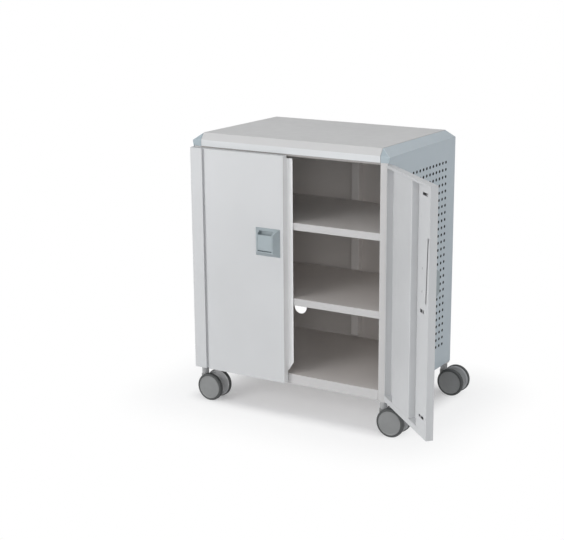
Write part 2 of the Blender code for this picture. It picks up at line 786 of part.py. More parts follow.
def make_rocker():
    """A flat lever on the housing's stud, with a drive pin for each rod."""
    long_end = ROCKER_LONG_ARM
    short_end = ROD_ARM + DRIVE_PIN_RADIUS
    quarter = math.pi / 2
    outline = arc((long_end, 0), ROCKER_HALF_HEIGHT, -quarter, quarter, 6)
    outline += arc((-short_end, 0), ROCKER_HALF_HEIGHT, quarter, 3 * quarter, 6)
    bore = arc((0, 0), STUD_RADIUS + SEAM, 0, 2 * math.pi, STUD_SIDES)[:-1]
    mesh = upright(extruded([outline, bore], -ROCKER_THICKNESS / 2, ROCKER_THICKNESS / 2))
    mesh.transform(Matrix.Translation(ROCKER_AT))
    rocker = new_part("right_latch_rocker", mesh, STEEL)
    for side in (-1, 1):
        root = ROCKER_AT + Vector((side * ROD_ARM, 0, 0))
        tip = Vector((root.x, CHANNEL_WEB - RUNNING_GAP, root.z))
        join(rocker, cylinder(root, tip, DRIVE_PIN_RADIUS, PIN_SIDES))
    return rocker


def make_rod(name, side, tongue_low):
    """A flat rod from the rocker to its slot in the lock channel. Side is -1 for the upper rod, 1 for the lower."""
    x = ROCKER_AT.x + side * ROD_ARM
    near = ROCKER_AT.z + side * ROCKER_HALF_HEIGHT
    back = ROD_FRONT + ROD_THICKNESS
    far = tongue_low if side > 0 else tongue_low + TONGUE
    half = ROD_WIDTH / 2
    bar = box((x - half, ROD_FRONT, min(near, far)), (x + half, back, max(near, far)))
    rod = new_part(name, bar, STEEL)
    tongue = box(
        (x - half + RUNNING_GAP, ROD_FRONT + ROD_THICKNESS / 2, tongue_low + SEAM),
        (x + half - RUNNING_GAP, DOOR_BACK - RUNNING_GAP, tongue_low + TONGUE - SEAM),
    )
    join(rod, tongue)
    slot_half = DRIVE_PIN_RADIUS + SEAM
    cut(
        rod,
        box(
            (x - DRIVE_SLOT_WIDTH / 2, ROD_FRONT - PAST / 4, ROCKER_AT.z - slot_half),
            (x + DRIVE_SLOT_WIDTH / 2, back + PAST / 4, ROCKER_AT.z + slot_half),
        ),
    )
    return rod


def hinge_leaf(name, inner, end):
    """A full-height leaf from y = end to its rolled edge, which is slotted for the other leaf's knuckles."""
    side = math.copysign(1, end - HINGE_AXIS.y)
    outer = inner + LEAF
    start = math.acos((inner - HINGE_AXIS.x) / KNUCKLE_RADIUS)
    stop = 2 * math.pi + math.acos((outer - HINGE_AXIS.x) / KNUCKLE_RADIUS)
    roll = arc((0, 0), KNUCKLE_RADIUS, start, stop, KNUCKLE_SIDES)
    bore = arc(HINGE_AXIS, BORE_RADIUS, 0, 2 * math.pi, PIN_SIDES)[:-1]
    outline = [(outer, end), (inner, end)]
    outline += [(HINGE_AXIS.x + x, HINGE_AXIS.y + side * y) for x, y in roll]
    leaf = new_part(name, extruded([outline, bore], DOOR_BOTTOM, DOOR_TOP), DOOR_PAINT)
    first_slot = 1 if side > 0 else 0
    pitch = (DOOR_TOP - DOOR_BOTTOM) / KNUCKLES
    reach = KNUCKLE_RADIUS + KNUCKLE_GAP
    slots = []
    for number in range(first_slot, KNUCKLES, 2):
        low = DOOR_BOTTOM + number * pitch - (KNUCKLE_GAP / 2 if number else PAST)
        high = DOOR_BOTTOM + (number + 1) * pitch + (KNUCKLE_GAP / 2 if number < KNUCKLES - 1 else PAST)
        slots.append(
            (
                (HINGE_AXIS.x - reach, HINGE_AXIS.y - reach, low),
                (HINGE_AXIS.x + reach, HINGE_AXIS.y + reach, high),
            )
        )
    cut(leaf, boxes(slots))
    return leaf


def make_frame_leaf():
    return hinge_leaf("right_hinge_frame_leaf", HALF_WIDTH + SEAM, FRONT + FRAME_LEAF_REACH)


def make_door_leaf():
    return hinge_leaf("right_hinge_door_leaf", DOOR_OUTER + SEAM, DOOR_FRONT + DOOR_LEAF_INSET)


def make_hinge_pin():
    low = Vector((HINGE_AXIS.x, HINGE_AXIS.y, DOOR_BOTTOM))
    high = Vector((HINGE_AXIS.x, HINGE_AXIS.y, DOOR_TOP))
    return new_part("right_hinge_pin", cylinder(low, high, PIN_RADIUS, PIN_SIDES), STEEL)


def make_meeting_strip():
    """The left door's angle, stepped back so that the right door closes in front of its lip. Its foot is cut aslant."""
    edge = -DOOR_MEETING - SEAM
    flange = DOOR_BACK + SEAM
    profile = [
        (edge - STRIP_FLANGE, flange),
        (edge, flange),
        (edge, flange + STRIP_STEP),
        (edge + STRIP_LIP, flange + STRIP_STEP),
    ]
    top = HEADER_BOTTOM - STRIP_END_GAP
    ends = [((edge, 0, STRIP_BOTTOM), Vector((STRIP_END_SLOPE, 0, -1)).normalized())]
    return folded("left_meeting_strip", profile, "Z", STRIP_BOTTOM, top, (0, -1, 0), DOOR_PAINT, ends)


def make_doors():
    upper_tongue = UPPER_SLOT_TOP - ROD_CLEARANCE - TONGUE
    lower_tongue = LOWER_SLOT_BOTTOM + ROD_CLEARANCE
    carried = {
        "door": [
            make_door_skin(),
            make_hat(),
            make_lock_channel(),
            make_door_leaf(),
            make_handle_housing(),
            make_paddle_pin(),
        ],
        "paddle": [make_paddle()],
        "rocker": [make_rocker()],
        "rods": [
            make_rod("right_upper_latch_rod", -1, upper_tongue),
            make_rod("right_lower_latch_rod", 1, lower_tongue),
        ],
    }
    frame_side = [make_frame_leaf(), make_hinge_pin()]
    left = {
        group: [mirrored(part, part.name.replace("right", "left")) for part in parts]
        for group, parts in carried.items()
    }
    for part in frame_side:
        mirrored(part, part.name.replace("right", "left"))
    left["door"].append(make_meeting_strip())
    hang_door("left", left, -1)
    hinge = hang_door("right", carried, 1)
    hinge.rotation_euler.z = RIGHT_DOOR_ANGLE


def hang_door(side, carried, sign):
    """Carries a door's parts on empties at its hinge, its paddle's pin and its rocker's stud."""
    mirror = Matrix.Diagonal((sign, 1, 1))
    axis = mirror @ HINGE_AXIS
    hinge = pivot(f"{side}_door_hinge", axis)
    for part in carried["door"] + carried["rods"]:
        hang(part, hinge, axis)
    for group, at in (("paddle", mirror @ PADDLE_PIN_AT), ("rocker", mirror @ ROCKER_AT)):
        turning = pivot(f"{side}_{group}_pivot", at, hinge, axis)
        for part in carried[group]:
            hang(part, turning, at)
    return hinge


# Casters, drawn about the stem's axis


def socket_mesh():
    corner = PLUG_HALF - BEND_RADIUS
    outline = [(PLUG_HALF, -corner), (PLUG_HALF, corner), (corner, PLUG_HALF), (-corner, PLUG_HALF)]
    outline += [(-x, -y) for x, y in outline]
    socket = new_part("socket", extruded([outline], POST_BOTTOM + SEAM, PLUG_TOP), SOCKET_PLASTIC)
    join(socket, cylinder((0, 0, COLLAR_BOTTOM), (0, 0, POST_BOTTOM + PAST), COLLAR_RADIUS, STEM_SIDES))
    bore = STEM_RADIUS + STEM_CLEARANCE
    cut(socket, cylinder((0, 0, COLLAR_BOTTOM - PAST), (0, 0, PLUG_TOP + PAST), bore, STEM_SIDES))
    return baked(socket)


def yoke_mesh():
    """A slim arm from the stem down to the axle, between the wheels."""
    boss = (TRAIL, WHEEL_RADIUS)
    outline = [(COLLAR_RADIUS, FLANGE_TOP - SEAM), (-COLLAR_RADIUS, FLANGE_TOP - SEAM)]
    outline += [(-COLLAR_RADIUS, FLANGE_TOP - YOKE_HEEL)]
    outline += arc(boss, YOKE_BOSS, -0.65 * math.pi, 0.4 * math.pi, 10)
    eye = arc(boss, AXLE_RADIUS + SEAM, 0, 2 * math.pi, AXLE_SIDES)[:-1]
    arm = upright(extruded([outline, eye], -YOKE_THICKNESS / 2, YOKE_THICKNESS / 2))
    yoke = new_part("yoke", arm, CASTER_PLASTIC)
    join(yoke, cylinder((0, 0, FLANGE_TOP - FLANGE_THICKNESS), (0, 0, FLANGE_TOP), COLLAR_RADIUS, STEM_SIDES))
    stem_foot = FLANGE_TOP - YOKE_HEEL / 2
    join(yoke, cylinder((0, 0, stem_foot), (0, 0, PLUG_TOP - SEAM), STEM_RADIUS, STEM_SIDES))
    return smooth(baked(yoke))


def wheel_profile():
    """Half of a wheel's section, from its outer face round the tread to its hub: radius, and distance outwards."""
    face = CASTER_WIDTH / 2
    inner = face - WHEEL_WIDTH
    disc = WHEEL_RADIUS - TYRE_DEPTH
    hub_end = YOKE_THICKNESS / 2 + RUNNING_GAP
    bore = AXLE_RADIUS + RUNNING_GAP
    bore_end = face - CAP_THICKNESS
    return [
        (0, face - 0.0005),
        (disc - 0.0085, face),
        (disc - 0.0010, face - 0.0020),
        (disc, face - 0.0005),
        (WHEEL_RADIUS - 0.0025, face - 0.0010),
        (WHEEL_RADIUS, face - 0.0045),
        (WHEEL_RADIUS, inner + 0.0045),
        (WHEEL_RADIUS - 0.0025, inner + 0.0010),
        (disc, inner),
        (disc - 0.0025, inner + 0.0040),
        (HUB_RADIUS + 0.0025, inner + 0.0040),
        (HUB_RADIUS, inner),
        (HUB_RADIUS, hub_end),
        (bore, hub_end),
        (bore, bore_end),
        (0, bore_end),
    ]


def wheel_mesh():
    bm = bmesh.new()
    line = [bm.verts.new((radius, 0, out)) for radius, out in wheel_profile()]
    for pair in zip(line, line[1:]):
        bm.edges.new(pair)
    wheel = new_part("wheel", mesh_of(bm, "wheel"), CASTER_PLASTIC)
    screw = wheel.modifiers.new("Turn", "SCREW")
    screw.steps = WHEEL_STEPS
    screw.render_steps = WHEEL_STEPS
    screw.use_merge_vertices = True
    screw.merge_threshold = 0.0001
    return smooth(baked(wheel))


def axle_mesh():
    reach = Vector((0, CASTER_WIDTH / 2 - CAP_THICKNESS - RUNNING_GAP, 0))
    return cylinder(-reach, reach, AXLE_RADIUS, AXLE_SIDES)


def make_casters():
    socket, yoke, wheel, axle = socket_mesh(), yoke_mesh(), wheel_mesh(), axle_mesh()
    corners = {
        "left_front": (-CASTER_X, CASTER_FRONT_Y),
        "right_front": (CASTER_X, CASTER_FRONT_Y),
        "left_rear": (-CASTER_X, CASTER_REAR_Y),
        "right_rear": (CASTER_X, CASTER_REAR_Y),
    }
    for corner, (x, y) in corners.items():
        new_part(f"{corner}_caster_socket", socket, SOCKET_PLASTIC).location = (x, y, 0)
        swivel = pivot(f"{corner}_swivel", (x, y, 0))
        new_part(f"{corner}_caster_yoke", yoke, CASTER_PLASTIC).parent = swivel
        for name, mesh, finish, turn in (
            ("axle", axle, STEEL, 0),
            ("front_wheel", wheel, CASTER_PLASTIC, math.pi / 2),
            ("back_wheel", wheel, CASTER_PLASTIC, -math.pi / 2),
        ):
            piece = new_part(f"{corner}_{name}", mesh, finish)
            piece.parent = swivel
            piece.location = (TRAIL, 0, WHEEL_RADIUS)
            piece.rotation_euler.x = turn


make_top_panel()
make_side_panels()
make_posts()
make_header_rail()
make_base_panel()
make_shelves()
make_back_panel()
make_doors()
make_casters()
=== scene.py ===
# Looks of the mobile storage cabinet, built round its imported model
import json
import math

import bmesh
import bpy
from mathutils import Matrix, Vector

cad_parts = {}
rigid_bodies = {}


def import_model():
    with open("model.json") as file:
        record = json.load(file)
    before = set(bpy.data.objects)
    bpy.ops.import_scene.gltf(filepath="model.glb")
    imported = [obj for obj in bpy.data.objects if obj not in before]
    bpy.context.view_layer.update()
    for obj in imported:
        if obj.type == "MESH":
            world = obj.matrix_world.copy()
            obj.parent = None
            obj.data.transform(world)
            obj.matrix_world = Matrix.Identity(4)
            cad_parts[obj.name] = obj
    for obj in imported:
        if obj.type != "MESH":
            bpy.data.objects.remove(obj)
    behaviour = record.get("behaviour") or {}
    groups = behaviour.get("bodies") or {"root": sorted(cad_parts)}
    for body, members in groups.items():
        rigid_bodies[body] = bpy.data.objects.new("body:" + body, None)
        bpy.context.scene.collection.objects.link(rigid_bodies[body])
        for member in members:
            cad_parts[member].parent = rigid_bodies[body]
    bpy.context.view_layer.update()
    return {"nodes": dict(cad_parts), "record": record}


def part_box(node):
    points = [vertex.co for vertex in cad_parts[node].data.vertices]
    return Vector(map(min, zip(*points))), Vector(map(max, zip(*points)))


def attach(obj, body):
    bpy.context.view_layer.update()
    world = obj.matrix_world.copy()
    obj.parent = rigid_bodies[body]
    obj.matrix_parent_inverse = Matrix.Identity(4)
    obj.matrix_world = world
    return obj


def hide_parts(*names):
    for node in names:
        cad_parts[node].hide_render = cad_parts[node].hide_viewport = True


for startup in list(bpy.data.objects):
    bpy.data.objects.remove(startup)
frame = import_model()
print("frame loaded:", len(frame["nodes"]), "nodes")


# Small tools for objects and nodes


def addObject(name, data):
    thing = bpy.data.objects.new(name, data)
    bpy.context.scene.collection.objects.link(thing)
    return thing


def meshFrom(bm, name):
    mesh = bpy.data.meshes.new(name)
    bm.to_mesh(mesh)
    bm.free()
    return mesh


def setInputs(tree, node, inputs):  # a socket is linked, anything else is a plain value
    for label, value in inputs.items():
        if isinstance(value, bpy.types.NodeSocket):
            tree.links.new(value, node.inputs[label])
        else:
            node.inputs[label].default_value = value


def addNode(tree, kind, inputs, operation=None):
    node = tree.nodes.new(kind)
    if operation:
        node.operation = operation
    setInputs(tree, node, inputs)
    return node


# Camera, floor and light

cameraView = {
    "place": (2.2682, -3.9223, 1.6178),
    "azimuth": -0.5243,  # radians from +Y
    "elevation": 0.2539,  # radians downwards
    "lens": 83.43,
    "shift": (-0.0771, 0.0113),
    "clipEnd": 60,
}
studio = {
    "floorSize": 30,
    "floorColour": (0.80, 0.80, 0.81),
    "floorRoughness": 0.8,
    "floorSpecular": 0.1,
    "floorLift": 0.23,  # what the camera sees above the lit floor
    "floorInset": 0.03,  # the fade to plain white starts this far inside the body's outline
    "floorFade": 0.4,  # and is over this far from there
    "floorPartWay": (0.26, 0.7),  # a point on the way: its share of the fade, and of white
    "worldColour": (0.97, 0.985, 1.0),
    "worldStrength": (0.66, 0.42),  # at the horizon and overhead
    "lamps": [  # name, place, aim, size, watts, colour
        ("keyLamp", (-1.8, -4.4, 1.8), (0, -0.2, 0.6), 2.6, 88, (1.0, 0.995, 0.99)),
        ("frontLamp", (2.6, -4.1, 1.5), (0.1, 0, 0.5), 2.4, 34, (1.0, 1.0, 1.0)),
        ("overheadLamp", (0.2, -0.3, 3.6), (0.2, -0.25, 0), 1.0, 6, (1.0, 1.0, 1.0)),
    ],
}
plainWhite = (1, 1, 1, 1)


def setCamera():
    camera = addObject("camera", bpy.data.cameras.new("camera"))
    camera.data.lens = cameraView["lens"]
    camera.data.clip_end = cameraView["clipEnd"]
    camera.data.shift_x, camera.data.shift_y = cameraView["shift"]
    turn, dip = cameraView["azimuth"], cameraView["elevation"]
    level = math.cos(dip)
    look = Vector((math.sin(turn) * level, math.cos(turn) * level, -math.sin(dip)))
    spin = look.to_track_quat("-Z", "Y").to_matrix().to_4x4()
    camera.matrix_world = Matrix.Translation(cameraView["place"]) @ spin
    bpy.context.scene.camera = camera


def addSeenRays(tree):  # what the camera sees, also by way of gloss and glass
    rays = tree.nodes.new("ShaderNodeLightPath")
    seen = rays.outputs["Is Camera Ray"]
    for kind in ("Is Glossy Ray", "Is Transmission Ray"):
        either = addNode(tree, "ShaderNodeMath", {0: seen, 1: rays.outputs[kind]}, "MAXIMUM")
        seen = either.outputs[0]
    return seen


def addMix(tree, share, one, two):
    inputs = {"Fac": share, 1: one.outputs[0], 2: two.outputs[0]}
    return addNode(tree, "ShaderNodeMixShader", inputs).outputs[0]


def addDistance(tree):  # outwards from the body's inset outline
    inset = studio["floorInset"]
    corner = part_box("right_side_panel")[1] - Vector((inset, inset, 0))
    reach = tree.nodes.new("ShaderNodeTexCoord").outputs["Object"]
    steps = {
        "ABSOLUTE": {},
        "SUBTRACT": {1: (corner.x, corner.y, 1)},
        "MAXIMUM": {1: (0, 0, 0)},
    }
    for operation, inputs in steps.items():
        out = addNode(tree, "ShaderNodeVectorMath", {0: reach, **inputs}, operation)
        reach = out.outputs["Vector"]
    return addNode(tree, "ShaderNodeVectorMath", {0: reach}, "LENGTH").outputs["Value"]


def setFloor():
    bm = bmesh.new()
    bmesh.ops.create_grid(bm, x_segments=1, y_segments=1, size=studio["floorSize"])
    floor = addObject("floor", meshFrom(bm, "floor"))
    material = bpy.data.materials.new("paleFloor")
    material.use_nodes = True
    tree = material.node_tree
    shader = tree.nodes["Principled BSDF"]
    seen = addSeenRays(tree)
    lift = addNode(tree, "ShaderNodeMath", {0: seen, 1: studio["floorLift"]}, "MULTIPLY")
    lit = {
        "Base Color": (*studio["floorColour"], 1),
        "Roughness": studio["floorRoughness"],
        "Specular IOR Level": studio["floorSpecular"],
        "Emission Color": plainWhite,
        "Emission Strength": lift.outputs[0],
    }
    setInputs(tree, shader, lit)
    distance = {"Value": addDistance(tree), "From Max": studio["floorFade"]}
    share = addNode(tree, "ShaderNodeMapRange", distance)
    fade = addNode(tree, "ShaderNodeValToRGB", {"Fac": share.outputs["Result"]})
    partWay, whiteness = studio["floorPartWay"]
    fade.color_ramp.interpolation = "EASE"
    fade.color_ramp.elements.new(partWay).color = (whiteness, whiteness, whiteness, 1)
    plain = addNode(tree, "ShaderNodeMath", {0: fade.outputs["Color"], 1: seen}, "MULTIPLY")
    white = tree.nodes.new("ShaderNodeEmission")
    surface = addMix(tree, plain.outputs[0], shader, white)
    setInputs(tree, tree.nodes["Material Output"], {"Surface": surface})
    floor.data.materials.append(material)


def setLight():
    world = bpy.data.worlds.new("studio")
    bpy.context.scene.world = world
    world.use_nodes = True
    tree = world.node_tree
    tree.nodes.clear()
    way = tree.nodes.new("ShaderNodeTexCoord").outputs["Generated"]
    split = addNode(tree, "ShaderNodeSeparateXYZ", {"Vector": way})
    horizon, overhead = studio["worldStrength"]
    levels = {"Value": split.outputs["Z"], "To Min": horizon, "To Max": overhead}
    strength = addNode(tree, "ShaderNodeMapRange", levels).outputs["Result"]
    glow = {"Color": (*studio["worldColour"], 1), "Strength": strength}
    soft = addNode(tree, "ShaderNodeBackground", glow)
    white = addNode(tree, "ShaderNodeBackground", {"Color": plainWhite})
    surface = addMix(tree, addSeenRays(tree), soft, white)
    addNode(tree, "ShaderNodeOutputWorld", {"Surface": surface})
    for name, place, aim, size, watts, colour in studio["lamps"]:
        lamp = bpy.data.lights.new(name, "AREA")
        lamp.size = size
        lamp.energy = watts
        lamp.color = colour
        holder = addObject(name, lamp)
        holder.location = place
        look = Vector(aim) - Vector(place)
        holder.rotation_euler = look.to_track_quat("-Z", "Y").to_euler()


setCamera()
setFloor()
setLight()
bpy.context.scene.view_settings.view_transform = "Standard"
print("camera, floor and light set")


# Finishes

paints = {  # colour, roughness
    "topPaint": ((0.59, 0.588, 0.588), 0.46),
    # painted light: the top's paint made lighter for the front-facing fascia, where more light
    # falls
    "fasciaPaint": ((0.635, 0.65, 0.66), 0.46),
    "doorPaint": ((0.586, 0.594, 0.602), 0.42),
    # painted shade: a darker copy of the door paint for the front posts and the front lips of
    # shelves and base
    "framePaint": ((0.53, 0.524, 0.522), 0.42),
    "sidePaint": ((0.548, 0.618, 0.662), 0.46),
    # the inside's own warm grey, made lighter than the doors as painted light in the shaded
    # interior
    "insidePaint": ((0.72, 0.684, 0.66), 0.5),
    # painted shade: the header rail under the fascia in a dark paint for the shadow it lies in
    "railPaint": ((0.30, 0.287, 0.28), 0.5),
    # painted light: the back stiffener made much lighter than the inside paint, for the light on
    # its front
    "bracePaint": ((0.88, 0.85, 0.83), 0.5),
    # painted light: near-white paint for the meeting strip and the left door's meeting edge,
    # standing in for light on them
    "stripPaint": ((0.88, 0.88, 0.88), 0.42),
    "cornerPaint": ((0.36, 0.425, 0.46), 0.46),
}
paintGrain = {  # each noise: scale, detail
    "drift": (2.3, 3),
    "driftRange": (0.965, 1.03),  # times the colour
    "patch": (36, 4),
    "patchRange": (-0.04, 0.05),  # on the roughness
    "peel": 620,  # scale of the fine bumps
    "bumpDetail": 2,
    "bumpDepth": 0.00006,
}
plastics = {  # colour, roughness, scale of the fine bumps
    "handlePlastic": ((0.325, 0.375, 0.396), 0.42, 1500),
    "discPlastic": ((0.235, 0.24, 0.24), 0.42, 1300),
    "socketPlastic": ((0.40, 0.405, 0.41), 0.45, 1300),
    # painted light: a lighter copy of the disc plastic for the wheels' inner faces
    "corePlastic": ((0.56, 0.565, 0.57), 0.45, 1300),
    "treadRubber": ((0.066, 0.07, 0.07), 0.62, 900),
    # painted shade: a near-black sheet that darkens the holes of the perforated sides
    "linerFelt": ((0.012, 0.012, 0.013), 0.9, 700),
}
plasticGrain = {
    "drift": (22, 4),
    "driftRange": (0.95, 1.05),
    "patch": (90, 5),
    "patchRange": (-0.05, 0.08),
    "bumpDetail": 2,
    "bumpDepth": 0.00005,
}
steels = {"brushedSteel": ((0.52, 0.52, 0.53), 0.34)}  # colour, roughness
steelGrain = {
    "brush": (300, 3),
    "stretch": (1, 1, 0.02),
    "brushRange": (0.88, 1.1),
    "roughRange": (-0.08, 0.1),
    "bumpDepth": 0.00003,
}
noiseBand = (0.35, 0.65)  # the part of a noise that a finish spreads its shades over


def newFinish(name):
    material = bpy.data.materials.new(name)
    material.use_nodes = True
    tree = material.node_tree
    coords = tree.nodes.new("ShaderNodeTexCoord")
    return material, tree, tree.nodes["Principled BSDF"], coords.outputs["Object"]


def addNoise(tree, coords, scale, detail):
    inputs = {"Vector": coords, "Scale": scale, "Detail": detail}
    return addNode(tree, "ShaderNodeTexNoise", inputs).outputs["Fac"]


def addRange(tree, noise, roughness, spread):
    inputs = {
        "Value": noise,
        "From Min": noiseBand[0],
        "From Max": noiseBand[1],
        "To Min": roughness + spread[0],
        "To Max": roughness + spread[1],
    }
    return addNode(tree, "ShaderNodeMapRange", inputs).outputs["Result"]


def addTint(tree, noise, colour, spread):
    ramp = addNode(tree, "ShaderNodeValToRGB", {"Fac": noise})
    for end in (0, 1):
        point = ramp.color_ramp.elements[end]
        point.position = noiseBand[end]
        point.color = (*(min(1.0, channel * spread[end]) for channel in colour), 1)
    return ramp.outputs["Color"]


def addBump(tree, noise, depth):
    inputs = {"Strength": 1.0, "Distance": depth, "Height": noise}
    return addNode(tree, "ShaderNodeBump", inputs).outputs["Normal"]


def makeCoat(name, colour, roughness, bumpScale, grain):
    material, tree, shader, coords = newFinish(name)
    drift = addNoise(tree, coords, *grain["drift"])
    patch = addNoise(tree, coords, *grain["patch"])
    bumps = addNoise(tree, coords, bumpScale, grain["bumpDetail"])
    coat = {
        "Base Color": addTint(tree, drift, colour, grain["driftRange"]),
        "Roughness": addRange(tree, patch, roughness, grain["patchRange"]),
        "Normal": addBump(tree, bumps, grain["bumpDepth"]),
    }
    setInputs(tree, shader, coat)
    return material


def makeSteel(name, colour, roughness):
    material, tree, shader, coords = newFinish(name)
    drawn = {"Vector": coords, "Scale": steelGrain["stretch"]}
    along = addNode(tree, "ShaderNodeMapping", drawn).outputs["Vector"]
    brush = addNoise(tree, along, *steelGrain["brush"])
    metal = {
        "Metallic": 1.0,
        "Base Color": addTint(tree, brush, colour, steelGrain["brushRange"]),
        "Roughness": addRange(tree, brush, roughness, steelGrain["roughRange"]),
        "Normal": addBump(tree, brush, steelGrain["bumpDepth"]),
    }
    setInputs(tree, shader, metal)
    return material


finishes = {}
for name, (colour, roughness) in paints.items():
    finishes[name] = makeCoat(name, colour, roughness, paintGrain["peel"], paintGrain)
for name, (colour, roughness, bumpScale) in plastics.items():
    finishes[name] = makeCoat(name, colour, roughness, bumpScale, plasticGrain)
for name, (colour, roughness) in steels.items():
    finishes[name] = makeSteel(name, colour, roughness)
slotFinish = {
    "top_paint": "topPaint",
    "door_paint": "doorPaint",
    "side_paint": "sidePaint",
    # inside faces take the lightened inside paint, painted light in the shaded interior
    "inside_paint": "insidePaint",
    "handle_plastic": "handlePlastic",
    "caster_plastic": "discPlastic",
    "socket_plastic": "socketPlastic",
    "steel": "brushedSteel",
}
nodeSlot = {row["node"]: row["material_slot"] for row in frame["record"]["subparts"]}
nodeBody = {}
for body, bodyNodes in frame["record"]["behaviour"]["bodies"].items():
    for node in bodyNodes:
        nodeBody[node] = body
print("finishes made:", len(finishes))


# Shared making tools

making = {
    "smoothBelow": 32,  # degrees between faces that shade as one
    "easeAbove": 28,  # degrees between faces whose edge is eased
    "bendAbove": 15,  # degrees between faces of a sheet that meet in a round bend
    "bendSteps": 3,
    "lineSteps": 5,  # in each bend of a drawn line
    "flatBelow": 0.5,  # degrees between a copy's triangles that become one face
    "copyWeld": 0.000002,
    "sheetWeld": 0.00002,
}
facing = {  # least part of a face's normal that points the way asked for
    "square": 0.9,
    "slanted": 0.6,
    "curved": 0.3,
}


def bakeMesh(thing):
    graph = bpy.context.evaluated_depsgraph_get()
    mesh = bpy.data.meshes.new_from_object(thing.evaluated_get(graph))
    bpy.data.objects.remove(thing)
    return mesh


def placePiece(name, mesh, body, slotName, nodes=(), finish=None):
    mesh.materials.clear()
    mesh.materials.append(finishes[finish or slotFinish[slotName]])
    mesh.shade_smooth()
    mesh.set_sharp_from_angle(angle=math.radians(making["smoothBelow"]))
    shaded = addObject(name + "Shaded", mesh)
    weighted = shaded.modifiers.new("flatFaces", "WEIGHTED_NORMAL")
    weighted.keep_sharp = True  # a flat face stays flat beside its eased edges
    piece = addObject(name, bakeMesh(shaded))
    if nodes:
        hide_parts(*nodes)
    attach(piece, body)
    return piece


def paintFaces(piece, finish, chosen):
    materials = piece.data.materials
    materials.append(finishes[finish])
    for face in piece.data.polygons:
        if chosen(face):
            face.material_index = len(materials) - 1


def addBevel(thing, width, segments, above):
    bevel = thing.modifiers.new("bevel", "BEVEL")
    bevel.width = width
    bevel.segments = segments
    bevel.limit_method = "ANGLE"
    bevel.angle_limit = math.radians(above)


def thickSheet(bm, name, sheet, bend=0.0):
    thing = addObject(name, meshFrom(bm, name))
    if bend:
        addBevel(thing, bend, making["bendSteps"], making["bendAbove"])
    solid = thing.modifiers.new("sheet", "SOLIDIFY")
    solid.thickness = sheet
    solid.offset = -1
    solid.use_even_offset = True
    return bakeMesh(thing)


def turnOutwards(bm, way, rank):  # the face that ranks highest has to look this way
    bmesh.ops.recalc_face_normals(bm, faces=bm.faces)
    bm.normal_update()
    if max(bm.faces, key=rank).normal.dot(way) < 0:
        bmesh.ops.reverse_faces(bm, faces=bm.faces)


def addBlock(bm, middle, size):
    place = Matrix.Translation(middle) @ Matrix.Diagonal((*size, 1))
    bmesh.ops.create_cube(bm, size=1, matrix=place)


def newTree(name, sockets):
    tree = bpy.data.node_groups.new(name, "GeometryNodeTree")
    tree.interface.new_socket("Geometry", in_out="OUTPUT", socket_type="NodeSocketGeometry")
    for label, kind in sockets.items():
        tree.interface.new_socket(label, in_out="INPUT", socket_type="NodeSocket" + kind)
    return tree, tree.nodes.new("NodeGroupInput").outputs


def addRow(tree, given):  # points one above the other
    step = addNode(tree, "ShaderNodeCombineXYZ", {"Z": given["Spacing"]})
    inputs = {"Count": given["Count"], "Offset": step.outputs["Vector"]}
    return addNode(tree, "GeometryNodeMeshLine", inputs).outputs["Mesh"]


def addSpread(tree, points, shape):
    inputs = {"Points": points, "Instance": shape}
    spread = addNode(tree, "GeometryNodeInstanceOnPoints", inputs).outputs["Instances"]
    return addNode(tree, "GeometryNodeRealizeInstances", {"Geometry": spread}).outputs["Geometry"]


def endTree(tree, shape, finish):
    inputs = {"Geometry": shape, "Material": finish}
    coated = addNode(tree, "GeometryNodeSetMaterial", inputs).outputs["Geometry"]
    addNode(tree, "NodeGroupOutput", {"Geometry": coated})
    return tree


def runTree(tree, values):
    thing = addObject(tree.name, bpy.data.meshes.new(tree.name))
    modifier = thing.modifiers.new(tree.name, "NODES")
    modifier.node_group = tree
    for socket in tree.interface.items_tree:
        if socket.in_out == "INPUT":
            modifier[socket.identifier] = values[socket.name]
    return bakeMesh(thing)


# Top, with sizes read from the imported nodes

topLow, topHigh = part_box("top_panel")
sideLow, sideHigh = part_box("right_side_panel")
halfWidth, halfDepth = sideHigh.x, sideHigh.y
bodyShape = {
    "sheet": 0.0015,
    "bend": 0.003,
    "frontChamfer": 0.0175,
    "chamferFoot": topHigh.z - 0.024,
    "fasciaBottom": topLow.z,
}


def bendLine(points, radius):
    points = [Vector(point) for point in points]
    line = [points[0]]
    steps = making["lineSteps"]
    for before, corner, after in zip(points, points[1:], points[2:]):
        into, out = (corner - before).normalized(), (after - corner).normalized()
        turn = math.atan2(into.x * out.y - into.y * out.x, into.dot(out))
        start = corner - into * radius * math.tan(abs(turn) / 2)
        centre = start + Vector((-into.y, into.x)) * math.copysign(radius, turn)
        for step in range(steps + 1):
            spoke = start - centre
            spoke.rotate(Matrix.Rotation(turn * step / steps, 2))
            line.append(centre + spoke)
    line.append(points[-1])
    return line


def makeTop():
    foot, low = bodyShape["chamferFoot"], bodyShape["fasciaBottom"]
    run = bodyShape["frontChamfer"]
    profile = [
        (-halfDepth, low),
        (-halfDepth, foot),
        (-halfDepth + run, topHigh.z),
        (halfDepth - run, topHigh.z),
        (halfDepth, foot),
        (halfDepth, low),
    ]
    line = bendLine(profile, bodyShape["bend"])
    bm = bmesh.new()
    left, right = ([bm.verts.new((x, *point)) for point in line] for x in (topLow.x, topHigh.x))
    for number in range(len(line) - 1):
        bm.faces.new((left[number], right[number], right[number + 1], left[number + 1]))
    turnOutwards(bm, Vector((0, 0, 1)), lambda face: face.calc_center_median().z)
    mesh = thickSheet(bm, "topShell", bodyShape["sheet"])
    piece = placePiece("topShell", mesh, "cabinet_body", "top_paint", ("top_panel",))
    # painted light: the fascia faces of the one bent sheet get the lighter copy of its paint
    paintFaces(piece, "fasciaPaint", lambda face: -face.normal.y > facing["square"])


# Perforated sides

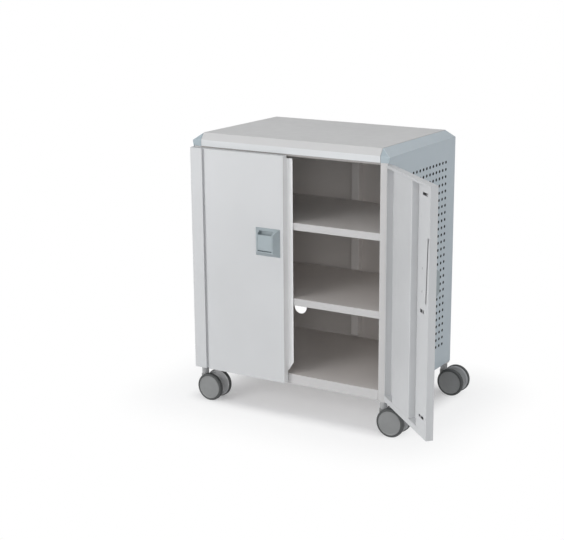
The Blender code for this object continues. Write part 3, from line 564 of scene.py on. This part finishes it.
perforation = {
    "pitch": 0.0254,
    "hole": (0.0067, 0.0055),  # half its width and height
    "sides": 12,
    "columns": 15,
    "rows": 27,
    "firstRow": 0.201,
    "sheet": 0.0005,
    "bend": 0.0025,
    "seam": 0.0009,  # between the flat panel, its cap and the top
}
# painted shade: a near-black sheet behind the holes for the interior seen through them, with a
# sheet in the inside paint on its inner face
liner = {  # distances from the middle of the body, and heights
    "inner": 0.3794,
    "split": 0.3797,
    "outer": 0.38,
    "halfDepth": 0.2,
    "low": 0.18,
    "high": 0.886,
}


def perforationTree():
    sockets = {
        "Cell": "Object",
        "Columns": "Int",
        "Rows": "Int",
        "Pitch": "Float",
        "Finish": "Material",
    }
    tree, given = newTree("perforatedField", sockets)
    spans = {}
    for label, across in (("Columns", "X"), ("Rows", "Y")):
        gaps = addNode(tree, "ShaderNodeMath", {0: given[label], 1: 1}, "SUBTRACT")
        ways = {0: gaps.outputs[0], 1: given["Pitch"]}
        spans["Size " + across] = addNode(tree, "ShaderNodeMath", ways, "MULTIPLY").outputs[0]
        spans["Vertices " + across] = given[label]
    grid = addNode(tree, "GeometryNodeMeshGrid", spans)
    cell = addNode(tree, "GeometryNodeObjectInfo", {"Object": given["Cell"]})
    field = addSpread(tree, grid.outputs["Mesh"], cell.outputs["Geometry"])
    weld = addNode(tree, "GeometryNodeMergeByDistance", {"Geometry": field})
    return endTree(tree, weld.outputs["Geometry"], given["Finish"])


def perforationCell():
    half, sides = perforation["pitch"] / 2, perforation["sides"]
    bm = bmesh.new()
    square = ((half, -half), (half, half), (-half, half), (-half, -half))
    corners = [bm.verts.new((x, y, 0)) for x, y in square]
    turns = [2 * math.pi * number / sides for number in range(sides)]
    wide, high = perforation["hole"]
    hole = [bm.verts.new((wide * math.cos(a), high * math.sin(a), 0)) for a in turns]
    per = sides // 4
    for quarter in range(4):
        first = quarter * per - per // 2
        rim = [hole[(first + step) % sides] for step in range(per)]
        here, after = corners[quarter], corners[(quarter + 1) % 4]
        bm.faces.new([here, after, *reversed(rim)])
        bm.faces.new([after, hole[(first + per) % sides], rim[-1]])
    return addObject("perforationCell", meshFrom(bm, "perforationCell"))


def makeField(middle):
    cell = perforationCell()
    values = {
        "Cell": cell,
        "Columns": perforation["columns"],
        "Rows": perforation["rows"],
        "Pitch": perforation["pitch"],
        "Finish": finishes["sidePaint"],
    }
    field = runTree(perforationTree(), values)
    bpy.data.objects.remove(cell)
    upright = Matrix(((0, 0, 1, 0), (1, 0, 0, 0), (0, 1, 0, 0), (0, 0, 0, 1)))
    field.transform(Matrix.Translation((halfWidth, 0, middle)) @ upright)
    return field


def makeLiner(name, sign):
    layers = (
        # painted shade: the near-black sheet behind the holes
        ("Liner", liner["split"], liner["outer"], "linerFelt"),
        # inner sheet in the lightened inside paint, painted light
        ("InnerSheet", liner["inner"], liner["split"], "insidePaint"),
    )
    for kind, near, far, finish in layers:
        bm = bmesh.new()
        middle = (sign * (near + far) / 2, 0, (liner["low"] + liner["high"]) / 2)
        addBlock(bm, middle, (far - near, 2 * liner["halfDepth"], liner["high"] - liner["low"]))
        mesh = meshFrom(bm, name + kind)
        placePiece(name + kind, mesh, "cabinet_body", "inside_paint", (), finish)


def makeSides():
    columns, rows, pitch = perforation["columns"], perforation["rows"], perforation["pitch"]
    lowField = perforation["firstRow"] - pitch / 2
    highField = perforation["firstRow"] + (rows - 0.5) * pitch
    field = makeField((lowField + highField) / 2)
    side = columns * pitch / 2
    across = [(-side + pitch * step) for step in range(columns + 1)]
    upward = [(lowField + pitch * step) for step in range(rows + 1)]
    foot, low, top = bodyShape["chamferFoot"], bodyShape["fasciaBottom"], topHigh.z
    run, bottom, seam = bodyShape["frontChamfer"], sideLow.z, perforation["seam"]
    w, d, inner = halfWidth, halfDepth, sideLow.x
    edge, lip, ridge = foot - seam, inner + seam, top - seam
    panel = [
        [(w, -d, bottom), (w, d, bottom)] + [(w, y, lowField) for y in reversed(across)],
        [(w, d, bottom), (w, d, edge)] + [(w, side, z) for z in reversed(upward)],
        [(w, d, edge), (w, -d, edge)] + [(w, y, highField) for y in across],
        [(w, -d, edge), (w, -d, bottom)] + [(w, -side, z) for z in upward],
        [(w, d, bottom), (inner, d, bottom), (inner, d, edge), (w, d, edge)],
    ]
    cap = [
        [(w, -d, foot), (w, d, foot), (lip, d - run, ridge), (lip, -d + run, ridge)],
        [(w, -d, foot), (lip, -d + run, ridge), (lip, -d, foot)],
        [(w, d, foot), (lip, d, foot), (lip, d - run, ridge)],
        [(w, -d, foot), (lip, -d, foot), (lip, -d, low), (w, -d, low)],
    ]
    sheets = (
        ("Perforated", panel, perforation["sheet"]),
        ("Cap", cap, bodyShape["sheet"]),
    )
    for name, sign in (("right", 1), ("left", -1)):
        node = name + "_side_panel"
        for kind, faces, sheet in sheets:
            bm = bmesh.new()
            if faces is panel:
                bm.from_mesh(field)
            for corners in faces:
                bm.faces.new([bm.verts.new(corner) for corner in corners])
            bmesh.ops.remove_doubles(bm, verts=bm.verts, dist=making["sheetWeld"])
            bmesh.ops.scale(bm, vec=(sign, 1, 1), verts=bm.verts)
            turnOutwards(bm, Vector((sign, 0, 0)), lambda face: face.calc_area())
            mesh = thickSheet(bm, name + kind, sheet, perforation["bend"])
            piece = placePiece(f"{name}Side{kind}", mesh, "cabinet_body", "side_paint", (node,))
            if faces is cap:
                paintFaces(piece, "cornerPaint", lambda face: -face.normal.y > facing["slanted"])
        makeLiner(name, sign)


makeTop()
makeSides()
print("top and perforated sides made")


# Inner sheet metal, doors and handles, with their edges eased

# painted shade: these lips take the darker paint of the front posts
lippedNodes = ("upper_shelf", "lower_shelf", "base_panel")  # front lips in the posts' paint
ownFinish = {
    # painted shade on the header rail
    "header_rail": "railPaint",
    # painted light on the back stiffener
    "back_stiffener": "bracePaint",
    # painted light on the meeting strip
    "left_meeting_strip": "stripPaint",
    # painted shade: front posts in the darker copy of the door paint
    "left_front_post": "framePaint",
    "right_front_post": "framePaint",
}
doorEdge = 0.004  # how near the middle a face of the left door's edge is
easedEdges = {  # node: bevel width, segments
    "back_panel": (0.0005, 2),
    "back_stiffener": (0.0005, 2),
    "base_panel": (0.0006, 2),
    "header_rail": (0.0005, 2),
    "upper_shelf": (0.0006, 2),
    "lower_shelf": (0.0006, 2),
    "left_meeting_strip": (0.0005, 2),
}
for side in ("left", "right"):
    for where in ("front", "rear"):
        easedEdges[f"{side}_{where}_post"] = (0.0005, 2)
        easedEdges[f"{side}_{where}_caster_socket"] = (0.0008, 2)
        easedEdges[f"{side}_{where}_caster_yoke"] = (0.0012, 3)
    easedEdges[f"{side}_door_skin"] = (0.0006, 3)
    easedEdges[f"{side}_door_stiffener"] = (0.0005, 2)
    easedEdges[f"{side}_lock_channel"] = (0.0005, 2)
    easedEdges[f"{side}_handle_housing"] = (0.0008, 3)
    easedEdges[f"{side}_handle_paddle"] = (0.0007, 3)


def solidCopy(node):
    bm = bmesh.new()
    bm.from_mesh(frame["nodes"][node].data)
    bmesh.ops.remove_doubles(bm, verts=bm.verts, dist=making["copyWeld"])
    flat = math.radians(making["flatBelow"])
    bmesh.ops.dissolve_limit(bm, angle_limit=flat, verts=bm.verts, edges=bm.edges)
    return meshFrom(bm, node + "Soft")


def isMeetingEdge(face):
    return face.normal.x > facing["square"] and face.center.x > -doorEdge


def softenNode(node, width, segments):
    thing = addObject(node + "Soft", solidCopy(node))
    addBevel(thing, width, segments, making["easeAbove"])
    mesh, finish = bakeMesh(thing), ownFinish.get(node)
    piece = placePiece(node + "_soft", mesh, nodeBody[node], nodeSlot[node], (node,), finish)
    if node in lippedNodes:
        lip = min(vertex.co.y for vertex in piece.data.vertices) + bodyShape["sheet"]
        # painted shade on the front lip
        paintFaces(piece, "framePaint", lambda face: face.center.y < lip)
    if node == "left_door_skin":
        # painted light: the left door's meeting edge faces take the near-white paint
        paintFaces(piece, "stripPaint", isMeetingEdge)


for node, (width, segments) in easedEdges.items():
    softenNode(node, width, segments)
print("sheet metal and handles eased:", len(easedEdges))


# Piano hinges

hinge = {
    "knuckles": 48,
    "radius": 0.0042,
    "gap": 0.0004,
    "sides": 18,
    "leaf": 0.0008,
    "seat": 0.0003,  # between a door's edge and the leaf on it
    "openTurn": math.radians(137.25),
}
pinLow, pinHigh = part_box("right_hinge_pin")
hingeAxis = Vector(((pinLow.x + pinHigh.x) / 2, (pinLow.y + pinHigh.y) / 2, 0))


def knuckleTree():
    sockets = {
        "Count": "Int",
        "Spacing": "Float",
        "Length": "Float",
        "Radius": "Float",
        "Sides": "Int",
        "Tongue": "Vector",
        "Tongue Place": "Vector",
        "Finish": "Material",
    }
    tree, given = newTree("knuckleRow", sockets)
    tube = {"Vertices": given["Sides"], "Radius": given["Radius"], "Depth": given["Length"]}
    roll = addNode(tree, "GeometryNodeMeshCylinder", tube)
    tongue = addNode(tree, "GeometryNodeMeshCube", {"Size": given["Tongue"]})
    place = {"Geometry": tongue.outputs["Mesh"], "Translation": given["Tongue Place"]}
    moved = addNode(tree, "GeometryNodeTransform", place)
    both = addNode(tree, "GeometryNodeJoinGeometry", {"Geometry": roll.outputs["Mesh"]})
    setInputs(tree, both, {"Geometry": moved.outputs["Geometry"]})
    knuckles = addSpread(tree, addRow(tree, given), both.outputs["Geometry"])
    return endTree(tree, knuckles, given["Finish"])


def fitToDoor(bm, side):
    if side == "right":
        turn = Matrix.Rotation(hinge["openTurn"], 3, "Z")
        bmesh.ops.rotate(bm, cent=hingeAxis, matrix=turn, verts=bm.verts)
    else:
        bmesh.ops.scale(bm, vec=(-1, 1, 1), verts=bm.verts)
        bmesh.ops.reverse_faces(bm, faces=bm.faces)


def makeHinges():
    leafLow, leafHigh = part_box("left_hinge_frame_leaf")
    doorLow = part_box("left_hinge_door_leaf")[0]
    doorOuter = -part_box("left_door_skin")[0].x
    pitch = (leafHigh.z - leafLow.z) / hinge["knuckles"]
    length, leaf = pitch - hinge["gap"], hinge["leaf"]
    reach = hinge["radius"] + hinge["gap"]
    doorPlate = doorOuter + hinge["seat"] + leaf / 2
    plates = {  # middle x, ends in y, first knuckle
        "frame": (hingeAxis.x, hingeAxis.y + reach, leafHigh.y, 0.5),
        "door": (doorPlate, doorLow.y, hingeAxis.y - reach, 1.5),
    }
    tree = knuckleTree()
    for kind, (middleX, front, back, first) in plates.items():
        aside = reach / 2 if kind == "frame" else -reach / 2
        values = {
            "Count": hinge["knuckles"] // 2,
            "Spacing": 2 * pitch,
            "Length": length,
            "Radius": hinge["radius"],
            "Sides": hinge["sides"],
            "Tongue": (leaf, reach, length),
            "Tongue Place": (middleX - hingeAxis.x, aside, 0),
            "Finish": finishes["doorPaint"],
        }
        rolls = runTree(tree, values)
        foot = hingeAxis + Vector((0, 0, leafLow.z + first * pitch))
        middle = Vector((middleX, (front + back) / 2, (leafLow.z + leafHigh.z) / 2))
        for name in ("right", "left"):
            bm = bmesh.new()
            bm.from_mesh(rolls)
            bmesh.ops.translate(bm, vec=foot, verts=bm.verts)
            addBlock(bm, middle, (leaf, back - front, leafHigh.z - leafLow.z))
            if kind == "door" or name == "left":
                fitToDoor(bm, name)
            node = f"{name}_hinge_{kind}_leaf"
            mesh = meshFrom(bm, node + "Rolled")
            piece = f"{name}Hinge{kind.title()}"
            placePiece(piece, mesh, nodeBody[node], "door_paint", (node,))


makeHinges()
print("piano hinges made")


# Wheels, with a tread and a disc, its inner faces in painted light

wheelShape = {
    "steps": 72,
    "tread": [  # radius, distance from the caster's middle
        (0.0418, 0.0353),
        (0.0426, 0.0366),
        (0.0440, 0.0371),
        (0.0462, 0.0368),
        (0.0480, 0.0358),
        (0.0493, 0.0342),
        (0.0500, 0.0322),
        (0.0500, 0.0238),
        (0.0497, 0.0228),
        (0.0490, 0.0219),
        (0.0481, 0.0214),
        (0.0474, 0.0217),
        (0.0472, 0.0226),
        (0.0422, 0.0290),
    ],
    "disc": [
        (0.0, 0.0372),
        (0.0120, 0.0371),
        (0.0240, 0.0368),
        (0.0340, 0.0363),
        (0.0378, 0.0360),
        (0.0386, 0.0362),
        (0.0400, 0.0370),
        (0.0410, 0.0371),
        (0.0417, 0.0365),
        (0.0419, 0.0350),
        (0.0420, 0.0288),
        (0.0470, 0.0224),
        (0.0470, 0.0208),
        (0.0462, 0.0198),
        (0.0446, 0.0193),
        (0.0412, 0.0194),
        (0.0402, 0.0196),
        (0.0394, 0.0204),
        (0.0388, 0.0224),
        (0.0150, 0.0226),
        (0.0128, 0.0216),
        (0.0116, 0.0196),
        (0.0110, 0.0170),
        (0.0110, 0.0080),
        (0.0104, 0.0075),
        (0.0050, 0.0075),
    ],
}


def turnedRing(profile, closed, steps):
    bm = bmesh.new()
    turns = [2 * math.pi * step / steps for step in range(steps)]
    rings = []
    for radius, out in profile:
        if radius == 0:
            rings.append([bm.verts.new((0, 0, out))] * steps)
        else:
            spokes = [(radius * math.cos(a), radius * math.sin(a), out) for a in turns]
            rings.append([bm.verts.new(spoke) for spoke in spokes])
    pairs = list(zip(rings, rings[1:]))
    if closed:
        pairs.append((rings[-1], rings[0]))
    for one, two in pairs:
        for step in range(steps):
            after = (step + 1) % steps
            loop = []
            for vert in (one[step], one[after], two[after], two[step]):
                if vert not in loop:  # a pole has one corner for all steps
                    loop.append(vert)
            bm.faces.new(loop)
    if not closed:
        bm.faces.new(rings[-1])
    bmesh.ops.recalc_face_normals(bm, faces=bm.faces)
    return meshFrom(bm, "turned")


def makeWheels():
    tread = turnedRing(wheelShape["tread"], True, wheelShape["steps"])
    disc = turnedRing(wheelShape["disc"], False, wheelShape["steps"])
    for corner in ("left_front", "right_front", "left_rear", "right_rear"):
        axleLow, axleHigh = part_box(corner + "_axle")
        centre = (axleLow + axleHigh) / 2
        for side, inward in (("front", 1), ("back", -1)):
            node = f"{corner}_{side}_wheel"
            turn = Matrix.Rotation(inward * math.pi / 2, 4, "X")
            discMesh, treadMesh = disc.copy(), tread.copy()
            for mesh in (discMesh, treadMesh):
                mesh.transform(Matrix.Translation(centre) @ turn)
            piece = placePiece(f"{node}_disc", discMesh, node, "caster_plastic", (node,))
            # painted light on the disc's inner faces
            paintFaces(
                piece, "corePlastic", lambda face: face.normal.y * inward > facing["curved"]
            )
            placePiece(f"{node}_tread", treadMesh, node, "caster_plastic", (), "treadRubber")


makeWheels()
print("wheels made")


# Rivets that hold the latch inside each lock channel

rivet = {
    "count": 2,
    "spacing": 0.072,
    "offset": 0.054,  # from the meeting edge
    "height": 0.585,  # of the lower one
    "steps": 20,
    "head": [  # radius, height over the channel
        (0.0, 0.0013),
        (0.0014, 0.00125),
        (0.0026, 0.0010),
        (0.0034, 0.0006),
        (0.0037, 0.0002),
        (0.0037, -0.0004),
    ],
}


def rivetTree():
    sockets = {"Head": "Object", "Count": "Int", "Spacing": "Float", "Finish": "Material"}
    tree, given = newTree("rivetRow", sockets)
    head = addNode(tree, "GeometryNodeObjectInfo", {"Object": given["Head"]})
    rivets = addSpread(tree, addRow(tree, given), head.outputs["Geometry"])
    return endTree(tree, rivets, given["Finish"])


def makeRivets():
    mesh = turnedRing(rivet["head"], False, rivet["steps"])
    mesh.transform(Matrix.Rotation(-math.pi / 2, 4, "X"))
    head = addObject("rivetHead", mesh)
    values = {
        "Head": head,
        "Count": rivet["count"],
        "Spacing": rivet["spacing"],
        "Finish": finishes["brushedSteel"],
    }
    row = runTree(rivetTree(), values)
    bpy.data.objects.remove(head)
    place = (rivet["offset"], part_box("left_lock_channel")[1].y, rivet["height"])
    for name in ("right", "left"):
        bm = bmesh.new()
        bm.from_mesh(row)
        bmesh.ops.translate(bm, vec=place, verts=bm.verts)
        fitToDoor(bm, name)
        mesh = meshFrom(bm, name + "ChannelRivets")
        placePiece(name + "ChannelRivets", mesh, nodeBody[name + "_lock_channel"], "steel")


makeRivets()
print("rivets made")


# Nodes that stay as they are, in their own finish

for node, thing in frame["nodes"].items():
    if not thing.hide_render:
        thing.data.materials.clear()
        thing.data.materials.append(finishes[slotFinish[nodeSlot[node]]])

print("done")
